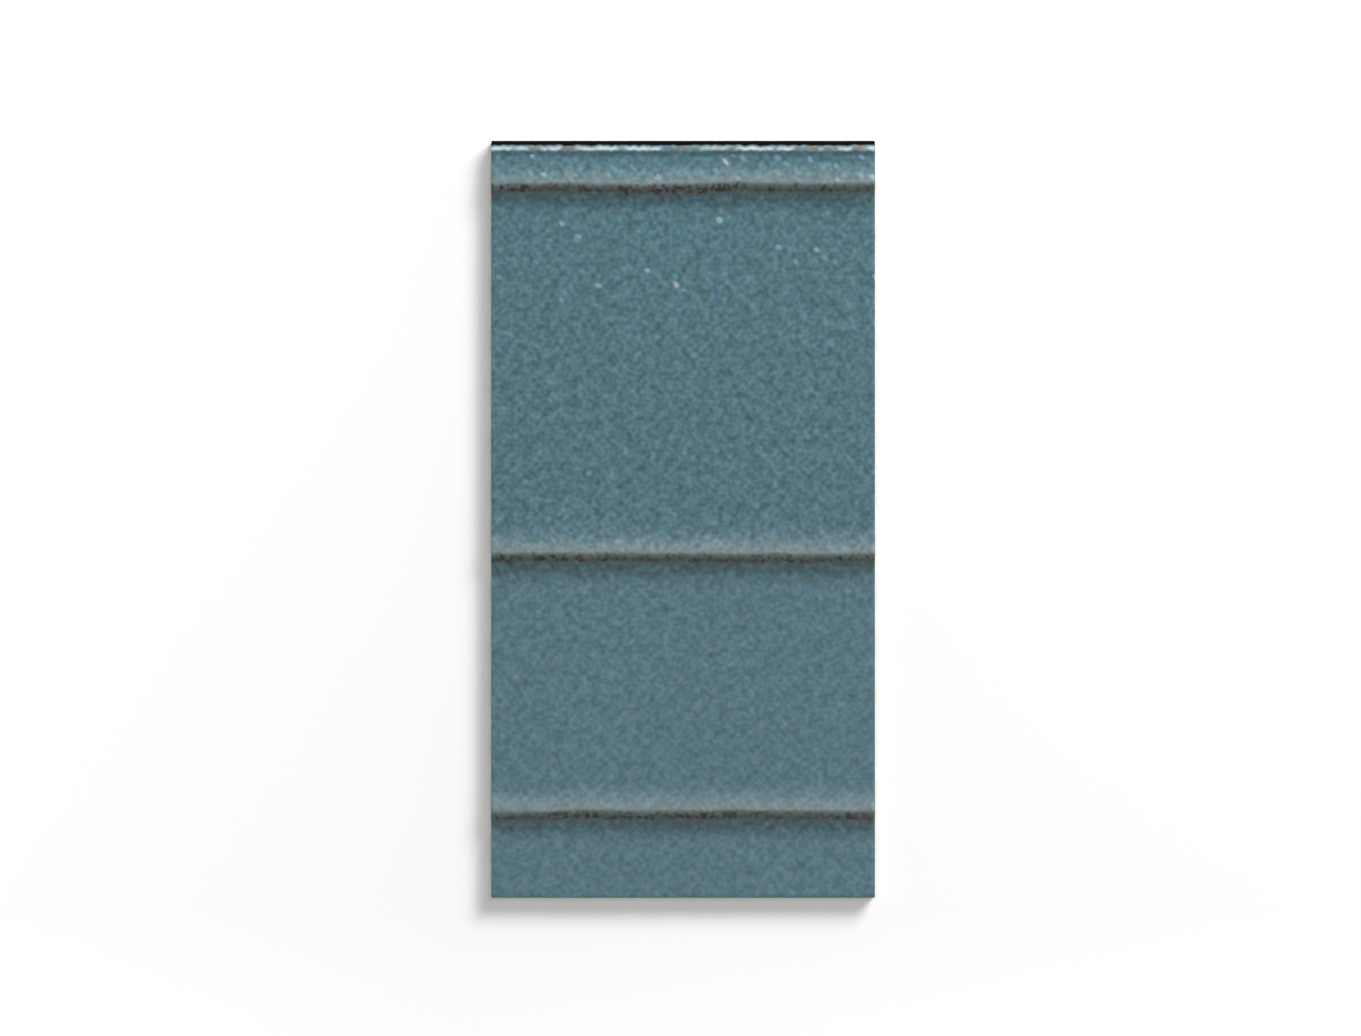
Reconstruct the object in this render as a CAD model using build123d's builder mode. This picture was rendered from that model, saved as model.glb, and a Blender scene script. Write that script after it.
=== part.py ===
from build123d import *

import os

# Glazed stoneware wall tile, one fired piece, lying face up on its back.
#
# The tile is one section drawn in the YZ plane and carried along X, the way a wide
# clay strip is extruded and then cut to length. +Z is the glazed face, +Y is the
# tile's top edge as it is set on a wall, and the origin is the middle of the back.
#
# The face is three boards of unequal height. Each board runs down to a flared lip,
# and a steep riser drops from the lip to the top of the next board. The last board
# is cut by the tile's bottom edge and goes on at the top of the tile set below it,
# so the face has the same height at both edges.
#
# The back is keyed for adhesive by shallow grooves that run along X.
# All sizes are millimetres.

# overall size
tile_w = 152.0  # along X
tile_l = 300.0  # along Y

# face levels above the back
board_high = 9.80  # a board's lower end, where its lip begins to flare
board_low = 9.20  # a board's upper end, at the foot of a riser
lip_rise = 1.95  # the lip's corner above the board's lower end

# lip corners, measured down from the tile's top edge
lips_down = (18.2, 164.6, 266.4)

# section of one lip, as distances along Y from its corner
flare_far = 9.6  # where the board begins to flare
flare_mid = 4.2  # where the flare steepens
flare_mid_rise = 0.70
riser_run = 2.70  # foot of the riser, below the corner

# radii in the section
r_flare_far = 44.0
r_flare_mid = 30.0
r_lip = 3.00
r_foot = 3.40
r_top_edge = 3.50  # the rounded top edge
r_bottom_edge = 0.60

# the cut ends, at left and right
r_cut_face = 0.50
c_back = 0.50

# keyed back
groove_pitch = 20.0
groove_count = 14
groove_mouth = 10.0
groove_floor = 8.4
groove_depth = 1.20


def lip_y(down):
    return tile_l / 2 - down


half_l = tile_l / 2

# The board that the tile's edges cut: its two straight stretches share one slope.
tail = (lip_y(lips_down[2]) - riser_run) + half_l
head = half_l - (lip_y(lips_down[0]) + flare_far)
edge_level = board_low + (board_high - board_low) * tail / (tail + head)

# The face, from the bottom edge to the top edge. Each corner has its radius.
corners = [((-half_l, edge_level), r_bottom_edge)]
for down in reversed(lips_down):
    y = lip_y(down)
    corners += [
        ((y - riser_run, board_low), r_foot),
        ((y, board_high + lip_rise), r_lip),
        ((y + flare_mid, board_high + flare_mid_rise), r_flare_mid),
        ((y + flare_far, board_high), r_flare_far),
    ]
corners += [((half_l, edge_level), r_top_edge)]

# The back, from the top edge to the bottom edge.
back = [(half_l, c_back), (half_l - c_back, 0.0)]
first = (groove_count - 1) * groove_pitch / 2
for i in range(groove_count):
    y = first - i * groove_pitch
    back += [
        (y + groove_mouth / 2, 0.0),
        (y + groove_floor / 2, groove_depth),
        (y - groove_floor / 2, groove_depth),
        (y - groove_mouth / 2, 0.0),
    ]
back += [(-half_l + c_back, 0.0), (-half_l, c_back)]

face_start = (-half_l, c_back)
face_end = (half_l, c_back)

with BuildPart() as wall_tile:
    with BuildSketch(Plane.YZ.offset(-tile_w / 2)) as section:
        with BuildLine() as outline:
            FilletPolyline(
                face_start,
                *[point for point, _ in corners],
                face_end,
                radius=[radius for _, radius in corners],
            )
            Polyline(*back)
        make_face()
    extrude(amount=tile_w)

    # the face's left and right arrises, softened by the glaze
    cut_ends = wall_tile.faces().filter_by(Axis.X)
    face_arrises = [
        edge
        for end in cut_ends
        for edge in end.edges()
        if (edge @ 0.5).Z > 6.0 and abs((edge @ 0.5).Y) < half_l - 0.05
    ]
    fillet(face_arrises, r_cut_face)

wall_tile.part.label = "wall_tile"

os.makedirs("parts", exist_ok=True)
export_step(wall_tile.part, "parts/wall_tile.step")

size = wall_tile.part.bounding_box().size
print("size", size.X, size.Y, size.Z)
print("volume", wall_tile.part.volume, "valid", wall_tile.part.is_valid)
print("edge level", edge_level, "solids", len(wall_tile.part.solids()))
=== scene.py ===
import math

import bpy
import numpy as np
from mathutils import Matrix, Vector


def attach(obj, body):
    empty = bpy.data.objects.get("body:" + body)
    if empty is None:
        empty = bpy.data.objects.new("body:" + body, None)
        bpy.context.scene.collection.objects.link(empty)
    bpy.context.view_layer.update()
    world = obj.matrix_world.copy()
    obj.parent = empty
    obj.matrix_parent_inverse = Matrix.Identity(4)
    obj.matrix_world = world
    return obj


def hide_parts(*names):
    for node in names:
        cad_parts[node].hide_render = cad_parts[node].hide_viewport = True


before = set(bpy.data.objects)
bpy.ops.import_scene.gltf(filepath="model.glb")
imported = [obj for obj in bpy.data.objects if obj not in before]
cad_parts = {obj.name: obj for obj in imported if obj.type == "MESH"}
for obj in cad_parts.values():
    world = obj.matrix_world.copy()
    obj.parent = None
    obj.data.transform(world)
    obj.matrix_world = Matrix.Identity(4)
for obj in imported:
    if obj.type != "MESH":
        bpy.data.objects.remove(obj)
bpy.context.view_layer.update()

# ---------------------------------------------------------------------------
# The tile's section, in millimetres. The same numbers as the construction's.
# ---------------------------------------------------------------------------
TILE_W = 152.0
TILE_L = 300.0
HALF_W = TILE_W / 2
HALF_L = TILE_L / 2
BOARD_HIGH = 9.80
BOARD_LOW = 9.20
LIP_RISE = 1.95
LIPS_DOWN = (18.2, 164.6, 266.4)
FLARE_FAR = 9.6
FLARE_MID = 4.2
FLARE_MID_RISE = 0.70
RISER_RUN = 2.70
R_FLARE_FAR = 44.0
R_FLARE_MID = 30.0
R_LIP = 3.00
R_FOOT = 3.40
R_TOP = 3.50
R_BOTTOM = 0.60
R_CUT = 0.50
C_BACK = 0.50
GROOVE_PITCH = 20.0
GROOVE_COUNT = 14
GROOVE_MOUTH = 10.0
GROOVE_FLOOR = 8.4
GROOVE_DEPTH = 1.20

LIPS = [HALF_L - d for d in LIPS_DOWN]


def fillet_chain(points, radii, step_deg=4.0):
    """A polyline through points whose inner corners are rounded to radii."""
    out = [points[0]]
    for i in range(1, len(points) - 1):
        a, p, b = (np.array(q, float) for q in points[i - 1 : i + 2])
        u, v = (a - p) / np.linalg.norm(a - p), (b - p) / np.linalg.norm(b - p)
        inner = math.acos(float(np.clip(u @ v, -1, 1)))
        turn = math.pi - inner
        cut = radii[i - 1] * math.tan(turn / 2)
        start = p + u * cut
        bisector = (u + v) / np.linalg.norm(u + v)
        centre = p + bisector * radii[i - 1] / math.sin(inner / 2)
        side = math.copysign(1.0, float(u[0] * v[1] - u[1] * v[0]))
        count = max(2, int(math.ceil(math.degrees(turn) / step_deg)))
        r0 = start - centre
        for k in range(count + 1):
            t = -side * turn * k / count
            c, s = math.cos(t), math.sin(t)
            out.append(
                (centre[0] + c * r0[0] - s * r0[1], centre[1] + s * r0[0] + c * r0[1])
            )
    out.append(points[-1])
    return np.array([tuple(p) for p in out], float)


tail = (LIPS[2] - RISER_RUN) + HALF_L
head = HALF_L - (LIPS[0] + FLARE_FAR)
EDGE_LEVEL = BOARD_LOW + (BOARD_HIGH - BOARD_LOW) * tail / (tail + head)

corners, radii = [(-HALF_L, C_BACK), (-HALF_L, EDGE_LEVEL)], [R_BOTTOM]
for y in reversed(LIPS):
    corners += [
        (y - RISER_RUN, BOARD_LOW),
        (y, BOARD_HIGH + LIP_RISE),
        (y + FLARE_MID, BOARD_HIGH + FLARE_MID_RISE),
        (y + FLARE_FAR, BOARD_HIGH),
    ]
    radii += [R_FOOT, R_LIP, R_FLARE_MID, R_FLARE_FAR]
corners += [(HALF_L, EDGE_LEVEL), (HALF_L, C_BACK)]
radii += [R_TOP]
SECTION = fillet_chain(corners, radii, 2.0)[1:-1]


def section_z(y):
    return np.interp(y, SECTION[:, 0], SECTION[:, 1])


# ---------------------------------------------------------------------------
# Seeded noise for the geometry.
# ---------------------------------------------------------------------------
def noise(x, y, cell, seed):
    """Smooth gradient noise from about -1 to 1, with features of about cell mm."""
    angle = np.random.default_rng(seed).uniform(0, 2 * math.pi, (256, 256))
    gx, gy = np.asarray(x, float) / cell, np.asarray(y, float) / cell
    gx, gy = np.broadcast_arrays(gx, gy)
    ix, iy = np.floor(gx).astype(int), np.floor(gy).astype(int)
    fx, fy = gx - ix, gy - iy

    def corner(a, b):
        t = angle[(ix + a) % 256, (iy + b) % 256]
        return np.cos(t) * (fx - a) + np.sin(t) * (fy - b)

    u = fx**3 * (fx * (6 * fx - 15) + 10)
    v = fy**3 * (fy * (6 * fy - 15) + 10)
    low = corner(0, 0) * (1 - u) + corner(1, 0) * u
    high = corner(0, 1) * (1 - u) + corner(1, 1) * u
    return (low * (1 - v) + high * v) * 1.5


def smooth(t):
    t = np.clip(t, 0, 1)
    return t * t * (3 - 2 * t)


# ---------------------------------------------------------------------------
# The tile: one closed mesh. Rows run along Y and are close together at the lips.
# ---------------------------------------------------------------------------
def face_rows():
    """The rows' places along Y in the plain section, from the bottom edge up."""
    arc = np.radians(np.linspace(0, 90, 5))
    rows = list(-HALF_L + R_BOTTOM * (1 - np.cos(arc)))
    top_start = HALF_L - R_TOP
    fine = [(-6.0, -4.6, 0.45), (-4.6, 1.9, 0.28), (1.9, 11.2, 0.62)]
    y = rows[-1]
    for lip in reversed(LIPS):
        first = lip + fine[0][0]
        count = int(round((first - y) / 1.25))
        rows += list(np.linspace(y, first, count + 1)[1:])
        for a, b, step in fine:
            count = int(round((b - a) / step))
            rows += list(np.linspace(lip + a, lip + b, count + 1)[1:])
        y = rows[-1]
    if y < top_start:
        count = max(1, int(round((top_start - y) / 0.8)))
        rows += list(np.linspace(y, top_start, count + 1)[1:])
    arc = np.radians(np.linspace(0, 90, 13))[1:]
    rows += list(top_start + R_TOP * np.sin(arc))
    return np.array(rows)


def face_columns():
    arc = np.radians(np.linspace(0, 90, 5))
    left = -HALF_W + R_CUT * (1 - np.cos(arc))
    middle = np.linspace(left[-1], -left[-1], 196)[1:-1]
    x = np.concatenate([left, middle, -left[::-1]])
    inside = HALF_W - R_CUT
    drop = np.where(
        np.abs(x) > inside,
        R_CUT - np.sqrt(np.clip(R_CUT**2 - (np.abs(x) - inside) ** 2, 0, None)),
        0.0,
    )
    return x, drop


def lip_wander(x, i):
    """How far lip i strays along Y, in mm: none of it on the whole."""
    slow = 0.55 * noise(x, 11.0 + 37 * i, 46.0, 101 + i)
    mid = 0.30 * noise(x, 5.0 + 37 * i, 15.0, 131 + i)
    lean = (0.35, -0.10, 0.10)[i] * x / HALF_W
    every = np.linspace(-HALF_W, HALF_W, 305)
    whole = 0.55 * noise(every, 11.0 + 37 * i, 46.0, 101 + i) + 0.30 * noise(
        every, 5.0 + 37 * i, 15.0, 131 + i
    )
    return slow + mid + lean - whole.mean()


def make_face(rows, cols, drop):
    """Vertex places and the shader's guides over the glazed face."""
    X, Y = np.meshgrid(cols, rows)  # [row, column]
    Z = section_z(Y)
    step = np.full(Y.shape, 60.0)
    place = Y.copy()
    for i, lip in enumerate(LIPS):
        down = lip - Y  # mm below the lip's corner
        near = np.abs(down) < np.abs(step)
        step = np.where(near, down, step)
        # The whole lip strays a little along its length.
        reach_up, reach_down = (12.5, 24.0) if i == 0 else (26.0, 24.0)
        if i == 2:
            reach_down = 22.0
        hold = np.where(
            down < 0,
            smooth((reach_up + down) / (reach_up - 4)),
            smooth((reach_down - down) / (reach_down - 5)),
        )
        place += lip_wander(X, i) * hold
        # Glaze beads along the crest and runs down the riser.
        crest = np.exp(-(((down - 0.2) / 1.1) ** 2))
        riser = np.exp(-(((down - 2.0) / 1.5) ** 2))
        bead = noise(X, 3.0 + 50 * i, 2.9, 211 + i)
        place += 0.20 * bead * crest + 0.16 * noise(X, 9.0, 2.1, 223 + i) * riser
        Z += 0.07 * noise(X, 7.0 + 50 * i, 3.4, 241 + i) * crest
        Z += 0.10 * noise(X, 1.0 + 50 * i, 24.0, 251 + i) * np.exp(
            -(((down + 1.0) / 4.0) ** 2)
        )
        Z += 0.10 * noise(X, 2.0 + 50 * i, 2.6, 261 + i) * riser
    # The glaze lies in slow pillows, with an orange peel on them.
    inner = smooth((HALF_W - np.abs(X)) / 3.0) * smooth((HALF_L - np.abs(Y)) / 4.5)
    Z += inner * (
        0.060 * noise(X, Y, 27.0, 11)
        + 0.035 * noise(X, Y, 11.0, 12)
        + 0.022 * noise(X, Y, 5.2, 13)
        + 0.014 * noise(X, Y, 2.8, 14)
    )
    # The rounded top edge is a little wavy.
    Z += (
        0.05 * noise(X, 3.0, 17.0, 21) + 0.03 * noise(X, 5.0, 5.0, 22)
    ) * np.exp(-(((HALF_L - 3.0 - Y) / 1.8) ** 2))
    # It draws back from the cut ends and leaves a low roll there.
    edge = HALF_W - np.abs(X)
    Z += 0.07 * np.exp(-(((edge - 1.5) / 0.9) ** 2)) * smooth(edge / 0.8)
    Z -= drop[None, :]
    return X, place, Z, step


def back_rows():
    rows, depth = [-HALF_L, -HALF_L + C_BACK], [C_BACK, 0.0]
    first = -(GROOVE_COUNT - 1) * GROOVE_PITCH / 2
    y = rows[-1]
    for i in range(GROOVE_COUNT):
        c = first + i * GROOVE_PITCH
        a, b = c - GROOVE_MOUTH / 2, c + GROOVE_MOUTH / 2
        lean = (GROOVE_MOUTH - GROOVE_FLOOR) / 2
        land = np.linspace(y, a - 0.25, max(2, int((a - y) / 2.4)))[1:]
        rows += list(land)
        depth += [0.0] * len(land)
        rows += [a, a + 0.2, a + lean - 0.15, a + lean + 0.15]
        depth += [0.03, 0.22, GROOVE_DEPTH - 0.18, GROOVE_DEPTH - 0.02]
        floor = np.linspace(a + lean + 0.5, b - lean - 0.5, 4)
        rows += list(floor)
        depth += [GROOVE_DEPTH] * len(floor)
        rows += [b - lean - 0.15, b - lean + 0.15, b - 0.2, b]
        depth += [GROOVE_DEPTH - 0.02, GROOVE_DEPTH - 0.18, 0.22, 0.03]
        rows.append(b + 0.25)
        depth.append(0.0)
        y = rows[-1]
    land = np.linspace(y, HALF_L - C_BACK, 6)[1:]
    rows += list(land) + [HALF_L]
    depth += [0.0] * len(land) + [C_BACK]
    return np.array(rows), np.array(depth)


class Builder:
    def __init__(self):
        self.co, self.side, self.step, self.top = [], [], [], []
        self.faces, self.part = [], []

    def add(self, co, side, step, top):
        first = len(self.co)
        self.co += [tuple(p) for p in co]
        self.side += list(side)
        self.step += list(step)
        self.top += list(top)
        return np.arange(first, first + len(co))

    def grid(self, ids, part):
        """Quads over a grid of vertex numbers, its face on the side of row x column."""
        a, b, c, d = ids[:-1, :-1], ids[:-1, 1:], ids[1:, 1:], ids[1:, :-1]
        quads = np.stack([a.ravel(), b.ravel(), c.ravel(), d.ravel()], 1).tolist()
        self.faces += [tuple(f) for f in quads]
        self.part += [part] * len(quads)

    def stitch(self, p, q, tp, tq, part):
        """Triangles between two chains of vertices that run the same way, q to the left of p."""
        i = j = 0
        while i < len(p) - 1 or j < len(q) - 1:
            go_p = j == len(q) - 1 or (
                i < len(p) - 1 and tp[i + 1] + tp[i] <= tq[j + 1] + tq[j]
            )
            if go_p:
                self.faces.append((int(p[i]), int(p[i + 1]), int(q[j])))
                i += 1
            else:
                self.faces.append((int(p[i]), int(q[j + 1]), int(q[j])))
                j += 1
            self.part.append(part)


def layout(co, part, across_mm, along_mm):
    """Places on a square sheet, in mm of it, for points on one part of the tile.

    across_mm and along_mm run over the glazed face's own surface.
    """
    x, y, z = co[:, 0] + HALF_W, co[:, 1] + HALF_L, co[:, 2]
    if part == "face":
        return np.stack([across_mm + 2, along_mm + 2], 1)
    if part == "back":
        return np.stack([x * 0.5 + 160, y * 0.5 + 2], 1)
    strips = {
        "left": (240, y + 2),
        "right": (256, y + 2),
        "bottom": (272, x + 2),
        "top": (272, x + 157),
    }
    start, run = strips[part]
    return np.stack([start + z, run], 1)


def build_tile():
    b = Builder()
    rows = face_rows()
    cols, drop = face_columns()
    X, Y, Z, step = make_face(rows, cols, drop)
    nr, nc = X.shape
    # arc length up from the outermost line of the rounded top edge
    seg = np.hypot(np.diff(rows), np.diff(section_z(rows)))
    run = np.concatenate([[0], np.cumsum(seg)])
    top = (run[-1] - run)[:, None] * np.ones((1, nc))
    # how far over an arris a point has gone, towards the bare sides
    over = np.maximum(
        np.where(drop > 0, np.abs(cols) - (HALF_W - R_CUT), -9.0)[None, :]
        * np.ones((nr, 1)),
        np.where(rows < -HALF_L + R_BOTTOM, (-HALF_L + R_BOTTOM) - rows, -9.0)[:, None]
        * np.ones((1, nc)),
    )
    side = np.clip(over, -9, None)
    face = b.add(
        np.stack([X.ravel(), Y.ravel(), Z.ravel()], 1),
        side.ravel(),
        step.ravel(),
        top.ravel(),
    ).reshape(nr, nc)
    b.grid(face, "face")
    wide = np.concatenate([[0], np.cumsum(np.hypot(np.diff(cols), np.diff(drop)))])
    across_mm = np.tile(wide, nr)
    along_mm = np.repeat(run, nc)

    # the back, with fewer columns
    brow, bdepth = back_rows()
    bcol = np.concatenate(
        [[-HALF_W], np.linspace(-HALF_W + C_BACK, HALF_W - C_BACK, 52), [HALF_W]]
    )
    BX, BY = np.meshgrid(bcol, brow)
    BZ = np.repeat(bdepth[:, None], len(bcol), 1)
    grooved = BZ > 0.6
    BZ = BZ + np.where(grooved, 0.05, 0.0) * noise(BX, BY, 6.0, 71)
    BZ = np.maximum(BZ, 0.0)
    back = b.add(
        np.stack([BX.ravel(), BY.ravel(), BZ.ravel()], 1),
        np.full(BX.size, 30.0),
        np.full(BX.size, 60.0),
        np.full(BX.size, 60.0),
    ).reshape(BX.shape)
    b.grid(back[:, ::-1], "back")

    # the four sides: levels between the face's rim and the back's rim
    levels = np.array([0.035, 0.09, 0.16, 0.25, 0.36, 0.50, 0.66, 0.84])

    def wall(rim, foot, tr, tf, normal, seed, along, glazed_top):
        """rim and foot are chains of vertex numbers that run the same way."""
        co = np.array(b.co)
        r = co[rim]
        f = np.stack([np.interp(tr, tf, co[foot][:, k]) for k in range(3)], 1)
        chains = [rim]
        for t in levels:
            p = r + (f - r) * t
            down = (r - p)[:, 2]
            s = r[:, along]
            # the cut clay is a little uneven, and the glaze that ran over is a skin on it
            out = 0.05 * noise(s, p[:, 2], 3.1, seed) + 0.06 * noise(
                s, p[:, 2] * 2, 9.0, seed + 1
            )
            reach = 1.6 + 0.9 * noise(s, 2.0, 7.0, seed + 2)
            out -= 0.13 * smooth((down - reach) / 0.9)
            ends = smooth(
                np.minimum(np.abs(s - s.min()), np.abs(s.max() - s)) / 0.8
            )
            p = p + np.outer(np.minimum(out, 0.03) * ends, normal)
            n = len(rim)
            chains.append(
                b.add(
                    p,
                    down + (0.5 if not glazed_top else 0.0),
                    np.full(n, 60.0),
                    -down if glazed_top else np.full(n, 60.0),
                )
            )
        return chains

    def join_chains(part, foot, tr, tf, flip):
        chains = walls[part]
        for p, q in zip(chains[:-1], chains[1:]):
            b.grid(np.stack([p, q]) if flip else np.stack([q, p]), part)
        if flip:
            b.stitch(chains[-1], foot, tr, tf, part)
        else:
            b.stitch(foot, chains[-1], tf, tr, part)

    walls = {}
    ty, tby = rows.copy(), brow.copy()
    tx, tbx = cols.copy(), bcol.copy()
    specs = {
        "left": (face[:, 0], back[:, 0], ty, tby, (-1, 0, 0), 81, 1, False),
        "right": (face[:, -1], back[:, -1], ty, tby, (1, 0, 0), 84, 1, False),
        "bottom": (face[0, :], back[0, :], tx, tbx, (0, -1, 0), 87, 0, False),
        "top": (face[-1, :], back[-1, :], tx, tbx, (0, 1, 0), 91, 0, True),
    }
    # The upright corner edges are shared by two walls, so they are made once.
    for name in ("left", "right"):
        walls[name] = wall(*specs[name])
    for name in ("bottom", "top"):
        rim, foot, tr, tf, normal, seed, along, glazed = specs[name]
        chains = wall(rim, foot, tr, tf, normal, seed, along, glazed)
        row = 0 if name == "bottom" else -1
        for k in range(1, len(chains)):
            chains[k][0] = walls["left"][k][row]
            chains[k][-1] = walls["right"][k][row]
        walls[name] = chains
    join_chains("left", back[:, 0], ty, tby, True)
    join_chains("right", back[:, -1], ty, tby, False)
    join_chains("bottom", back[0, :], tx, tbx, False)
    join_chains("top", back[-1, :], tx, tbx, True)

    co = np.array(b.co)
    # round the upright corner edges a little
    rc = 0.6
    dx, dy = np.abs(co[:, 0]) - (HALF_W - rc), np.abs(co[:, 1]) - (HALF_L - rc)
    inside = (dx > 0) & (dy > 0)
    ratio = np.ones(len(co))
    ratio[inside] = (
        np.maximum(dx, dy)[inside] / np.hypot(dx, dy)[inside]
    )
    co[inside, 0] = np.sign(co[inside, 0]) * (
        HALF_W - rc + dx[inside] * ratio[inside]
    )
    co[inside, 1] = np.sign(co[inside, 1]) * (
        HALF_L - rc + dy[inside] * ratio[inside]
    )

    used = np.zeros(len(co), bool)
    for f in b.faces:
        used[list(f)] = True
    remap = np.cumsum(used) - 1
    faces = [tuple(int(remap[v]) for v in f) for f in b.faces]
    mesh = bpy.data.meshes.new("wall_tile_face")
    mesh.from_pydata((co[used] * 0.001).tolist(), [], faces)
    mesh.update()
    # one sheet for the whole surface, with the face at full scale
    corner = np.array([v for f in b.faces for v in f])
    part = np.repeat(np.array(b.part), [len(f) for f in b.faces])
    spread = np.zeros((len(corner), 2))
    for name in ("face", "back", "left", "right", "bottom", "top"):
        mine = part == name
        ids = corner[mine]
        on_face = np.minimum(ids, len(across_mm) - 1)
        spread[mine] = layout(co[ids], name, across_mm[on_face], along_mm[on_face])
    sheet = mesh.uv_layers.new(name="OFBake")
    sheet.data.foreach_set("uv", (spread / (run[-1] + 4)).astype(np.float32).ravel())
    for name, values in (
        ("side_mm", b.side),
        ("step_mm", b.step),
        ("top_mm", b.top),
    ):
        data = mesh.attributes.new(name, "FLOAT", "POINT")
        data.data.foreach_set("value", np.array(values, np.float32)[used])
    mesh.polygons.foreach_set("use_smooth", [True] * len(mesh.polygons))
    return mesh


# ---------------------------------------------------------------------------
# Materials.
# ---------------------------------------------------------------------------
class Graph:
    """A short way to write a material's nodes."""

    def __init__(self, name):
        self.material = bpy.data.materials.new(name)
        self.material.use_nodes = True
        self.tree = self.material.node_tree
        self.tree.nodes.clear()

    def node(self, kind, **props):
        n = self.tree.nodes.new(kind)
        for key, value in props.items():
            setattr(n, key, value)
        return n

    def put(self, socket, value):
        if isinstance(value, bpy.types.NodeSocket):
            self.tree.links.new(value, socket)
        elif value is not None:
            if hasattr(socket.default_value, "__len__"):
                value = tuple(value)
                if len(value) == 3 and len(socket.default_value) == 4:
                    value = (*value, 1.0)
            socket.default_value = value

    def math(self, op, a, b=None, c=None, clamp=False):
        n = self.node("ShaderNodeMath", operation=op, use_clamp=clamp)
        for socket, value in zip(n.inputs, (a, b, c)):
            self.put(socket, value)
        return n.outputs[0]

    def ramp(self, value, a, b, low=0.0, high=1.0, smoothly=True):
        n = self.node(
            "ShaderNodeMapRange",
            interpolation_type="SMOOTHSTEP" if smoothly else "LINEAR",
            clamp=True,
        )
        for key, v in (
            ("Value", value),
            ("From Min", a),
            ("From Max", b),
            ("To Min", low),
            ("To Max", high),
        ):
            self.put(n.inputs[key], v)
        return n.outputs[0]

    def window(self, value, a, b, c, d):
        """0 before a, 1 from b to c, and 0 after d."""
        return self.math("MULTIPLY", self.ramp(value, a, b), self.ramp(value, c, d, 1, 0))

    def mix(self, factor, a, b, blend="MIX"):
        n = self.node("ShaderNodeMix", data_type="RGBA", blend_type=blend)
        self.put(n.inputs[0], factor)
        self.put(n.inputs[6], a)
        self.put(n.inputs[7], b)
        return n.outputs[2]

    def mix_value(self, factor, a, b):
        n = self.node("ShaderNodeMix", data_type="FLOAT")
        self.put(n.inputs[0], factor)
        self.put(n.inputs[2], a)
        self.put(n.inputs[3], b)
        return n.outputs[0]

    def noise(self, vector, size_mm, detail=2.0, rough=0.5, offset=0.0, kind="3D"):
        """Noise whose cells are size_mm across, about 0.5 in the middle."""
        if offset:
            shift = self.node("ShaderNodeVectorMath", operation="ADD")
            self.put(shift.inputs[0], vector)
            shift.inputs[1].default_value = (offset, offset * 0.37, offset * 0.71)
            vector = shift.outputs[0]
        n = self.node("ShaderNodeTexNoise", noise_dimensions=kind)
        self.put(n.inputs["Vector"], vector)
        n.inputs["Scale"].default_value = 1.0 / size_mm
        n.inputs["Detail"].default_value = detail
        n.inputs["Roughness"].default_value = rough
        return n.outputs[0]

    def guide(self, name):
        n = self.node("ShaderNodeAttribute", attribute_name=name)
        n.attribute_type = "GEOMETRY"
        return n.outputs["Fac"]


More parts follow.
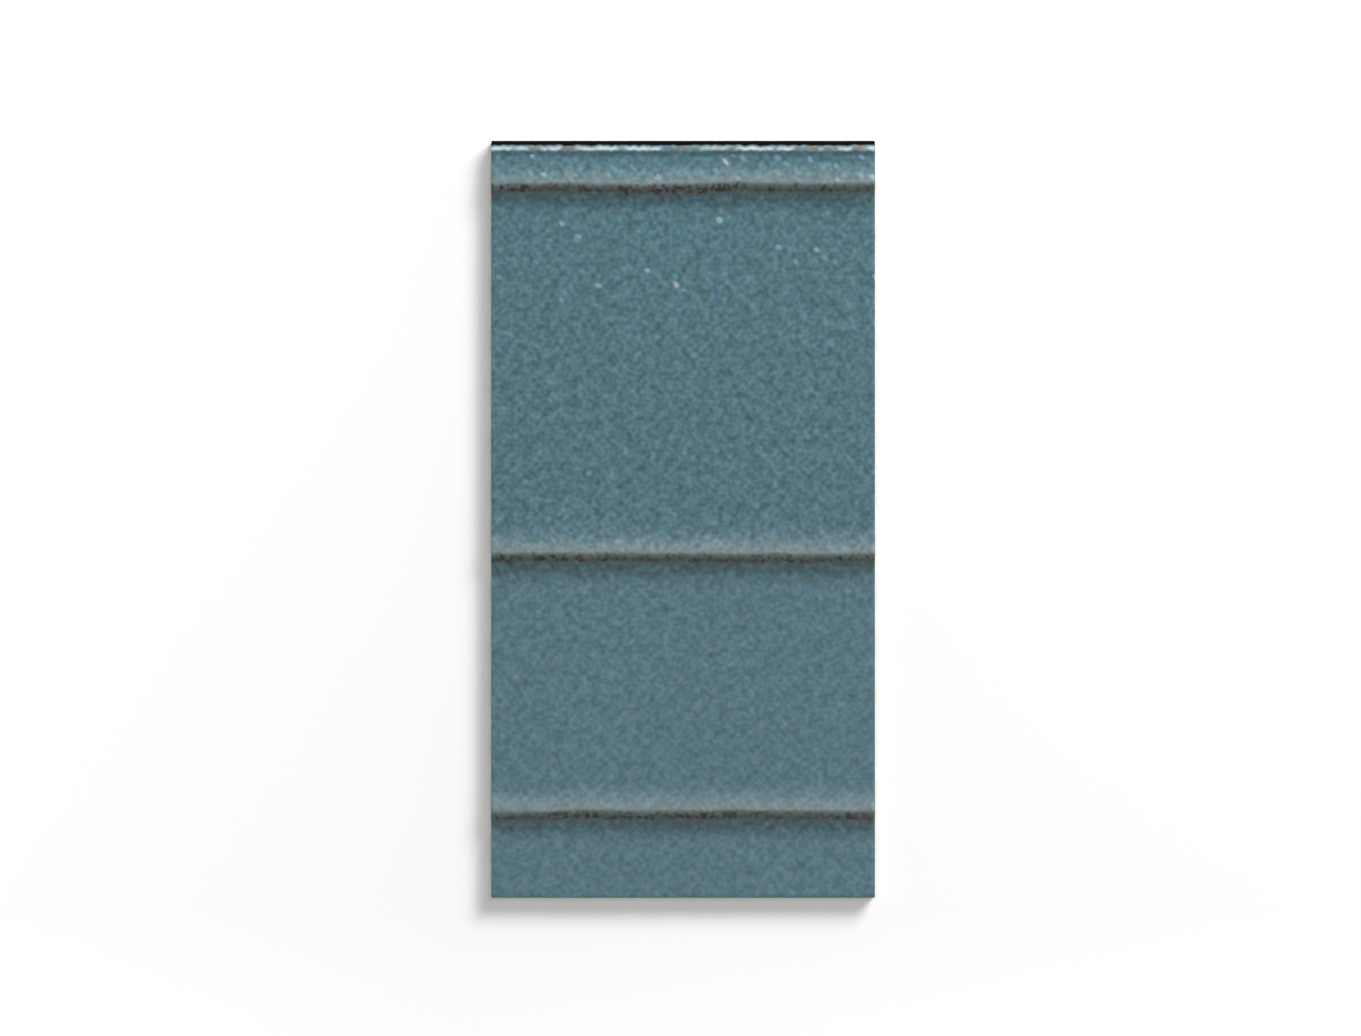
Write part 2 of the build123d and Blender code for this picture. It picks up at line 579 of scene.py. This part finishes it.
def stoneware():
    g = Graph("glazed_stoneware")
    out = g.node("ShaderNodeOutputMaterial")
    shader = g.node("ShaderNodeBsdfPrincipled")
    g.tree.links.new(shader.outputs[0], out.inputs[0])

    place = g.node("ShaderNodeTexCoord").outputs["Object"]
    scale = g.node("ShaderNodeVectorMath", operation="SCALE")
    g.put(scale.inputs[0], place)
    scale.inputs["Scale"].default_value = 1000.0
    mm = scale.outputs[0]

    step, side, top = g.guide("step_mm"), g.guide("side_mm"), g.guide("top_mm")

    # --- the glaze's colour --------------------------------------------------
    split = g.node("ShaderNodeSeparateXYZ")
    g.put(split.inputs[0], mm)
    across, along = split.outputs[0], split.outputs[1]
    grain = g.noise(mm, 1.8, detail=0.0, offset=31.0, kind="2D")
    slanted = []
    for turn, offset in ((0.785, 0.0), (-0.785, 37.0)):
        turned = g.node("ShaderNodeVectorRotate", rotation_type="Z_AXIS")
        g.put(turned.inputs["Vector"], mm)
        turned.inputs["Angle"].default_value = turn
        drawn = g.node("ShaderNodeMapping")
        g.put(drawn.inputs["Vector"], turned.outputs[0])
        drawn.inputs["Scale"].default_value = (1.0, 1 / 2.4, 1.0)
        slanted.append(
            g.noise(drawn.outputs[0], 2.3, detail=0.0, offset=offset, kind="2D")
        )
    cloud = g.noise(mm, 34.0, detail=2.0, offset=7.0)
    patch = g.noise(mm, 11.0, detail=2.0, offset=17.0)
    hue = g.noise(mm, 2.5, detail=0.0, offset=53.0, kind="2D")
    hue_two = g.noise(mm, 2.7, detail=0.0, offset=91.0, kind="2D")

    # round grains over two sets of slanted ones, as the glaze crept in the fire
    signal = g.math("MULTIPLY_ADD", slanted[0], 0.39, g.math("MULTIPLY", slanted[1], 0.39))
    signal = g.math("MULTIPLY_ADD", g.math("SUBTRACT", grain, 0.5), 0.44, signal)
    signal = g.math("ADD", signal, 0.11)
    signal = g.math("MULTIPLY_ADD", g.math("SUBTRACT", patch, 0.5), 0.03, signal)
    # the speckle is bolder on the upper board than on the lower ones
    bold = g.math(
        "ADD",
        g.ramp(along, -150.0, -20.0, 0.425, 0.525, smoothly=False),
        g.ramp(along, -24.0, -4.0, 0.0, 0.135),
    )
    signal = g.math("MULTIPLY_ADD", g.math("SUBTRACT", signal, 0.5), bold, 0.5)
    tint_much = g.ramp(along, -150.0, 120.0, 0.25, 0.46, smoothly=False)
    tone = g.node("ShaderNodeValToRGB")
    tone.color_ramp.interpolation = "EASE"
    stops = [
        (0.30, (0.034, 0.083, 0.098)),
        (0.43, (0.048, 0.109, 0.130)),
        (0.50, (0.058, 0.126, 0.152)),
        (0.58, (0.071, 0.146, 0.176)),
        (0.72, (0.097, 0.184, 0.220)),
    ]
    ramp = tone.color_ramp
    while len(ramp.elements) < len(stops):
        ramp.elements.new(0.5)
    for element, (at, colour) in zip(ramp.elements, stops):
        element.position = at
        element.color = (*colour, 1.0)
    g.put(tone.inputs[0], signal)
    glaze = tone.outputs[0]
    # greenish, bluish and lavender grains among the rest
    for noise, a, b, tinge in (
        (hue, 0.50, 0.68, (1.16, 1.00, 0.85)),
        (hue, 0.50, 0.32, (0.86, 1.00, 1.14)),
        (hue_two, 0.50, 0.68, (1.08, 0.91, 1.04)),
        (hue_two, 0.50, 0.32, (0.94, 1.07, 0.98)),
    ):
        much = g.math("MULTIPLY", g.ramp(noise, a, b), tint_much)
        glaze = g.mix(much, glaze, tinge, "MULTIPLY")
    # slow changes over the face: bluer at the top, and a little paler lower down
    for a, b, tinge in (
        (130.0, -150.0, (1.08, 1.02, 0.99)),
        (10.0, -24.0, (1.08, 1.045, 1.05)),
        (60.0, 126.0, (0.99, 1.03, 1.05)),
        (130.0, 136.0, (0.925, 0.955, 0.96)),
    ):
        glaze = g.mix(g.ramp(along, a, b, smoothly=False), glaze, tinge, "MULTIPLY")
    glaze = g.mix(
        g.ramp(cloud, 0.35, 0.65, 0.0, 0.12), glaze, (0.052, 0.104, 0.115)
    )

    # --- where the glaze is thin on the rise to a lip, with a painted sheen of light there ---
    ragged = g.noise(mm, 2.8, detail=2.0, rough=0.55, offset=5.0)
    ragged_fine = g.noise(mm, 1.3, detail=1.0, offset=77.0)
    soft_step = g.math("MULTIPLY_ADD", g.math("SUBTRACT", ragged, 0.5), 7.0, step)
    sooner = g.math("ADD", soft_step, g.ramp(along, 60.0, 20.0, 0.0, 0.45))
    # paler towards each lip: partly the thin glaze, partly a painted highlight where the rise
    # faces the light
    pale = g.window(sooner, -9.2, -4.1, -3.0, 0.6)
    glaze = g.mix(pale, glaze, (1.42, 1.15, 1.08), "MULTIPLY")

    # --- painted shadow below each lip, where the glaze also pools at the riser's foot ---
    pool_and_painted_shadow = g.window(soft_step, 0.8, 3.0, 4.2, 13.0)
    creep = g.ramp(g.noise(mm, 3.1, detail=1.0, offset=97.0), 0.34, 0.64, 0.44, 1.36)
    pool_and_painted_shadow = g.math("MULTIPLY", g.math("MULTIPLY", pool_and_painted_shadow, 0.60), creep)
    # darker on the board below a lip: the painted shadow of the lip, and the thicker pooled
    # glaze
    glaze = g.mix(pool_and_painted_shadow, glaze, (0.62, 0.575, 0.56), "MULTIPLY")

    # --- where it breaks to brown over the riser ------------------------------
    fray = g.noise(mm, 3.3, detail=1.0, rough=0.5, offset=47.0)
    frayed = g.ramp(along, -60.0, -90.0, 5.4, 3.6)
    fray_step = g.math("MULTIPLY_ADD", g.math("SUBTRACT", fray, 0.5), frayed, step)
    stretched = g.node("ShaderNodeMapping")
    g.put(stretched.inputs["Vector"], mm)
    stretched.inputs["Scale"].default_value = (1.0, 0.72, 0.72)
    blots = g.noise(stretched.outputs[0], 1.7, detail=0.0, offset=41.0)
    weak = g.ramp(g.noise(mm, 9.0, detail=1.0, offset=43.0), 0.38, 0.60, 0.62, 1.0)
    # a faint stain first, which reaches up over the crest
    stain = g.window(fray_step, -5.6, -1.6, 1.8, 4.6)
    glaze = g.mix(g.math("MULTIPLY", stain, 0.40), glaze, (0.100, 0.099, 0.087))
    brown = g.window(fray_step, -2.4, 0.6, 1.5, 4.3)
    dark = g.math(
        "MULTIPLY",
        g.math("MULTIPLY", g.ramp(blots, 0.34, 0.64), weak),
        g.window(fray_step, -2.3, 0.3, 1.5, 4.0),
    )
    iron = g.mix(
        g.ramp(fray_step, 0.8, 3.2), (0.098, 0.108, 0.092), (0.040, 0.054, 0.051)
    )
    iron = g.mix(dark, iron, (0.019, 0.017, 0.010))
    rust = g.ramp(g.noise(mm, 2.4, detail=0.0, offset=63.0), 0.50, 0.66)
    rust = g.math("MULTIPLY", rust, g.window(fray_step, -2.6, -0.8, 0.4, 2.2))
    iron = g.mix(g.math("MULTIPLY", rust, 0.34), iron, (0.086, 0.068, 0.045))
    strength = g.mix_value(dark, 0.56, 0.95)
    glaze = g.mix(g.math("MULTIPLY", brown, strength), glaze, iron)

    # --- the rounded top edge -------------------------------------------------
    # its markings are drawn out along the edge
    edge_mm = g.node("ShaderNodeMapping")
    g.put(edge_mm.inputs["Vector"], mm)
    edge_mm.inputs["Scale"].default_value = (1.0, 0.35, 0.35)
    edge_mm = edge_mm.outputs[0]
    waver = g.noise(edge_mm, 3.4, detail=1.0, rough=0.5, offset=19.0)
    soft_top = g.math("MULTIPLY_ADD", g.math("SUBTRACT", waver, 0.5), 1.6, top)
    # the glaze lies thicker and darker just below the rounding
    gully = g.window(soft_top, 5.9, 6.7, 7.2, 8.8)
    depth = g.ramp(g.noise(edge_mm, 2.6, detail=1.0, offset=59.0), 0.36, 0.60, 0.50, 1.0)
    glaze = g.mix(g.math("MULTIPLY", gully, depth), glaze, (0.027, 0.066, 0.080))
    # and a painted highlight on the rounding itself, where the glaze is also so thin that the
    # pale body shows through it
    thin_and_painted_highlight = g.window(soft_top, 3.95, 5.2, 5.45, 6.5)
    glow = g.math(
        "ADD",
        g.math("MULTIPLY", g.noise(edge_mm, 4.2, detail=0.5, offset=37.0), 0.55),
        g.math("MULTIPLY", g.noise(edge_mm, 15.0, detail=1.0, offset=39.0), 0.45),
    )
    glow = g.ramp(glow, 0.39, 0.60)
    cool = g.mix(g.ramp(hue, 0.40, 0.60), (0.42, 0.55, 0.58), (0.53, 0.535, 0.56))
    glaze = g.mix(
        g.math("MULTIPLY", thin_and_painted_highlight, g.math("MULTIPLY_ADD", glow, 0.54, 0.10)),
        glaze,
        cool,
    )
    # the brightest middle of the painted highlight along the rounded top edge
    painted_highlight_core = g.math("MULTIPLY", glow, g.window(soft_top, 4.6, 5.2, 5.35, 5.9))
    glaze = g.mix(g.math("MULTIPLY", painted_highlight_core, 0.38), glaze, (0.66, 0.73, 0.75))
    fleck = g.ramp(g.noise(edge_mm, 1.9, detail=0.5, offset=23.0), 0.50, 0.62)
    fleck = g.math("MULTIPLY", fleck, g.window(soft_top, 3.4, 4.4, 5.4, 6.4))
    fleck = g.math("MULTIPLY", fleck, g.math("MULTIPLY_ADD", glow, -0.62, 0.92))
    glaze = g.mix(fleck, glaze, (0.190, 0.130, 0.076))
    # painted shade: the outer part of the rounded top edge is painted near-black
    rim = g.window(soft_top, -1.9, 0.1, 3.35, 4.55)
    glaze = g.mix(rim, glaze, (0.005, 0.005, 0.006))

    # --- painted glints: bright specks painted where highlights glint on the glaze ---
    def painted_glints(cell, turn, squeeze, share, radius):
        """Painted glints: soft bright specks scattered over the face, in a share of its cells,
        some brighter.
        """
        turned = g.node("ShaderNodeVectorRotate", rotation_type="Z_AXIS")
        g.put(turned.inputs["Vector"], mm)
        turned.inputs["Angle"].default_value = turn
        shape = g.node("ShaderNodeMapping")
        g.put(shape.inputs["Vector"], turned.outputs[0])
        shape.inputs["Scale"].default_value = (squeeze, 1.0, 1.0)
        cells = g.node("ShaderNodeTexVoronoi", feature="F1", voronoi_dimensions="2D")
        g.put(cells.inputs["Vector"], shape.outputs[0])
        cells.inputs["Scale"].default_value = 1 / cell
        pick = g.node("ShaderNodeSeparateColor")
        g.put(pick.inputs[0], cells.outputs["Color"])
        chosen = g.math("LESS_THAN", pick.outputs[0], share)
        wobble = g.math("MULTIPLY", g.math("SUBTRACT", ragged, 0.5), 0.35)
        away = g.math("ADD", cells.outputs["Distance"], wobble)
        dot = g.ramp(away, radius, radius * 0.25, 0, 1)
        bright = g.math("MULTIPLY", pick.outputs[2], pick.outputs[2])
        bright = g.math("MULTIPLY_ADD", bright, 0.75, 0.25)
        kind = pick.outputs[1]
        tint = g.mix(g.ramp(kind, 0.30, 0.40), (0.19, 0.27, 0.43), (0.19, 0.35, 0.39))
        tint = g.mix(g.ramp(kind, 0.72, 0.80), tint, (0.32, 0.36, 0.36))
        return g.math("MULTIPLY", g.math("MULTIPLY", chosen, dot), bright), tint

    band = g.window(along, 80.0, 97.0, 113.0, 129.0)
    flock = g.ramp(g.noise(mm, 17.0, detail=1.0, offset=71.0), 0.44, 0.58, 0.12, 1.0)
    share = g.math("MULTIPLY", g.math("MULTIPLY", band, flock), 0.15)
    painted_spark, tint = painted_glints(3.6, 0.6, 0.85, share, 0.46)
    # painted highlights: small bright specks in a band near the top
    glaze = g.mix(g.math("MULTIPLY", painted_spark, 0.85), glaze, tint)
    # larger milky painted glints, most of them at the right, above the first lip
    where = g.math(
        "MULTIPLY",
        g.window(top, 6.8, 8.2, 16.0, 20.0),
        g.ramp(across, -30.0, 30.0, 0.06, 0.32),
    )
    painted_milky_glint, tint = painted_glints(3.0, 0.8, 0.66, where, 0.50)
    glaze = g.mix(g.math("MULTIPLY", painted_milky_glint, 0.95), glaze, tint)
    painted_spark = g.math("MAXIMUM", painted_spark, painted_milky_glint)

    # --- the bare clay ---------------------------------------------------------
    clay_slow = g.noise(mm, 18.0, detail=3.0, offset=3.0)
    clay_grit = g.noise(mm, 0.9, detail=2.0, offset=13.0)
    clay = g.mix(
        g.ramp(clay_slow, 0.3, 0.7), (0.305, 0.268, 0.222), (0.378, 0.338, 0.288)
    )
    clay = g.mix(g.ramp(clay_grit, 0.56, 0.66, 0, 0.6), clay, (0.48, 0.435, 0.375))
    clay = g.mix(g.ramp(clay_grit, 0.42, 0.32, 0, 0.6), clay, (0.15, 0.120, 0.092))

    over = g.noise(mm, 5.0, detail=3.0, rough=0.6, offset=29.0)
    limit = g.math("MULTIPLY_ADD", over, 4.4, 0.2)
    bare = g.ramp(g.math("SUBTRACT", side, limit), -0.12, 0.12)
    # a thin brown line where the glaze rounds the arris and where it ends
    fringe = g.window(g.math("SUBTRACT", side, limit), -0.9, -0.25, 0.0, 0.12)
    arris = g.math("MULTIPLY", g.window(side, 0.34, 0.58, 0.9, 1.7), 0.55)
    arris = g.math("MULTIPLY", arris, g.math("SUBTRACT", 1.0, rim))
    glaze = g.mix(arris, glaze, (0.072, 0.052, 0.038))
    glaze = g.mix(g.math("MULTIPLY", fringe, 0.7), glaze, (0.090, 0.058, 0.038))
    colour = g.mix(bare, glaze, clay)
    g.put(shader.inputs["Base Color"], colour)

    # --- gloss -------------------------------------------------------------------
    gloss = g.ramp(grain, 0.35, 0.65, 0.38, 0.46, smoothly=False)
    gloss = g.mix_value(brown, gloss, 0.70)
    gloss = g.mix_value(thin_and_painted_highlight, gloss, 0.34)
    gloss = g.mix_value(rim, gloss, 0.9)
    gloss = g.mix_value(painted_spark, gloss, 0.32)
    g.put(shader.inputs["Roughness"], g.mix_value(bare, gloss, 0.92))
    # the painted shade on the rim is made metallic as well, so that it reflects almost nothing
    dull = g.math("MULTIPLY", rim, g.math("SUBTRACT", 1.0, bare))
    g.put(shader.inputs["Metallic"], dull)
    shader.inputs["IOR"].default_value = 1.5
    shader.inputs["Specular IOR Level"].default_value = 0.5

    # --- relief too fine for the mesh ----------------------------------------------
    peel = g.noise(mm, 3.6, detail=1.0, offset=83.0)
    pebble = g.noise(mm, 1.5, detail=1.0, offset=87.0)
    glaze_height = g.math(
        "ADD", g.math("MULTIPLY", peel, 0.055), g.math("MULTIPLY", pebble, 0.014)
    )
    torn = g.noise(mm, 2.2, detail=4.0, rough=0.65, offset=57.0)
    clay_height = g.math(
        "ADD", g.math("MULTIPLY", torn, 0.16), g.math("MULTIPLY", clay_grit, 0.05)
    )
    rough_brown = g.math(
        "MULTIPLY", g.math("MULTIPLY", g.math("SUBTRACT", ragged_fine, 0.5), brown), 0.12
    )
    height = g.math(
        "ADD", g.mix_value(bare, glaze_height, clay_height), rough_brown
    )
    bump = g.node("ShaderNodeBump")
    bump.inputs["Strength"].default_value = 1.0
    bump.inputs["Distance"].default_value = 0.001
    g.put(bump.inputs["Height"], height)
    g.put(shader.inputs["Normal"], bump.outputs[0])
    return g.material


def floor_material():
    g = Graph("floor")
    out = g.node("ShaderNodeOutputMaterial")
    shader = g.node("ShaderNodeBsdfPrincipled")
    g.tree.links.new(shader.outputs[0], out.inputs[0])
    shader.inputs["Base Color"].default_value = (0.93, 0.93, 0.93, 1)
    shader.inputs["Roughness"].default_value = 0.9
    shader.inputs["Specular IOR Level"].default_value = 0.1
    shader.inputs["Emission Color"].default_value = (0.96, 0.985, 1, 1)
    # a painted contact shadow, a little darker right at the tile, and as pale as the backdrop
    # far away
    split = g.node("ShaderNodeSeparateXYZ")
    g.put(split.inputs[0], g.node("ShaderNodeTexCoord").outputs["Object"])
    beside = g.math("SUBTRACT", g.math("ABSOLUTE", split.outputs[0]), HALF_W * 0.001)
    beyond = g.math("SUBTRACT", g.math("ABSOLUTE", split.outputs[1]), HALF_L * 0.001)
    gap = g.math("MAXIMUM", beside, beyond)
    # painted contact shadow: less glow on the floor right beside the tile
    near = g.ramp(gap, 0.0, 0.0026, 0.155, 0.25)
    reach = g.math(
        "SQRT",
        g.math(
            "ADD",
            g.math("MULTIPLY", split.outputs[0], split.outputs[0]),
            g.math("MULTIPLY", split.outputs[1], split.outputs[1]),
        ),
    )
    far = g.ramp(reach, 0.7, 3.4, 0.0, 0.75)
    # it stays as pale on the two sides that lie away from the light
    left = g.ramp(split.outputs[0], -0.09, -0.27, 0.0, 0.07, smoothly=False)
    front = g.ramp(split.outputs[1], -0.155, -0.22, 0.0, 0.05, smoothly=False)
    level = g.math("ADD", g.math("ADD", near, far), g.math("ADD", left, front))
    g.put(shader.inputs["Emission Strength"], level)
    return g.material


# ---------------------------------------------------------------------------
# The piece.
# ---------------------------------------------------------------------------
mesh = build_tile()
mesh.materials.append(stoneware())
tile = bpy.data.objects.new("glazed_wall_tile", mesh)
bpy.context.scene.collection.objects.link(tile)
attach(tile, "root")
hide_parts("wall_tile")

# ---------------------------------------------------------------------------
# Floor, light and camera.
# ---------------------------------------------------------------------------
floor_mesh = bpy.data.meshes.new("floor")
F = 7.0
floor_mesh.from_pydata([(-F, -F, 0), (F, -F, 0), (F, F, 0), (-F, F, 0)], [], [(0, 1, 2, 3)])
floor_mesh.materials.append(floor_material())
floor = bpy.data.objects.new("floor", floor_mesh)
floor.location.z = -0.0001
bpy.context.scene.collection.objects.link(floor)

world = bpy.data.worlds.new("studio")
bpy.context.scene.world = world
world.use_nodes = True
sky = world.node_tree
ambient = sky.nodes["Background"]
look = sky.nodes.new("ShaderNodeTexCoord")
axis = sky.nodes.new("ShaderNodeSeparateXYZ")
fade = sky.nodes.new("ShaderNodeMapRange")
fade.interpolation_type = "SMOOTHSTEP"
sky.links.new(look.outputs["Generated"], axis.inputs[0])
sky.links.new(axis.outputs[2], fade.inputs["Value"])
for key_name, amount in (
    ("From Min", 0.0),
    ("From Max", 0.6),
    ("To Min", 0.50),
    ("To Max", 0.20),
):
    fade.inputs[key_name].default_value = amount
ray = sky.nodes.new("ShaderNodeLightPath")
seen = sky.nodes.new("ShaderNodeMix")
seen.data_type = "FLOAT"
sky.links.new(ray.outputs["Is Camera Ray"], seen.inputs[0])
sky.links.new(fade.outputs[0], seen.inputs[2])
seen.inputs[3].default_value = 1.0
sky.links.new(seen.outputs[0], ambient.inputs[1])
ambient.inputs[0].default_value = (1.0, 1.0, 1.0, 1)


def softbox(name, place, target, width, height, watts, colour=(1, 1, 1)):
    light = bpy.data.lights.new(name, "AREA")
    light.shape = "RECTANGLE"
    light.size, light.size_y = width, height
    light.energy = watts
    light.color = colour
    o = bpy.data.objects.new(name, light)
    o.location = place
    aim = Vector(target) - Vector(place)
    o.rotation_mode = "QUATERNION"
    o.rotation_quaternion = aim.to_track_quat("-Z", "Y")
    bpy.context.scene.collection.objects.link(o)
    return o


# The key light comes from the upper right, and makes the shadow on the floor.
key = softbox("key", (2.08, 2.66, 3.00), (0, 0, 0), 2.1, 2.1, 185.0)
# A low strip beyond the top edge rakes the lips.
strip = softbox("strip", (-0.5, 4.60, 1.21), (0, 0, 0), 6.8, 0.79, 378.0)
# A soft fill from the other end keeps the risers from going black.
fill = softbox("fill", (0.6, -3.30, 2.30), (0, 0, 0), 3.0, 1.6, 46.0)
only_tile = bpy.data.collections.new("raked")
bpy.context.scene.collection.children.link(only_tile)
only_tile.objects.link(tile)
strip.light_linking.receiver_collection = only_tile
fill.light_linking.receiver_collection = only_tile

camera_data = bpy.data.cameras.new("camera")
camera_data.type = "PERSP"
camera_data.sensor_fit = "HORIZONTAL"
camera_data.sensor_width = 36.0
MM_PER_PIXEL = 0.3960
FRAME_W = 1361 * MM_PER_PIXEL * 0.001
DISTANCE = 3.0
camera_data.lens = 36.0 * DISTANCE / FRAME_W
camera_data.dof.use_dof = False
camera = bpy.data.objects.new("camera", camera_data)
camera.location = (
    -2.58 * MM_PER_PIXEL * 0.001,
    1.13 * MM_PER_PIXEL * 0.001,
    DISTANCE + 0.0095,
)
camera_data.clip_start, camera_data.clip_end = 0.1, 50.0
bpy.context.scene.collection.objects.link(camera)
bpy.context.scene.camera = camera

bpy.context.scene.view_settings.view_transform = "Standard"
bpy.context.scene.view_settings.look = "None"
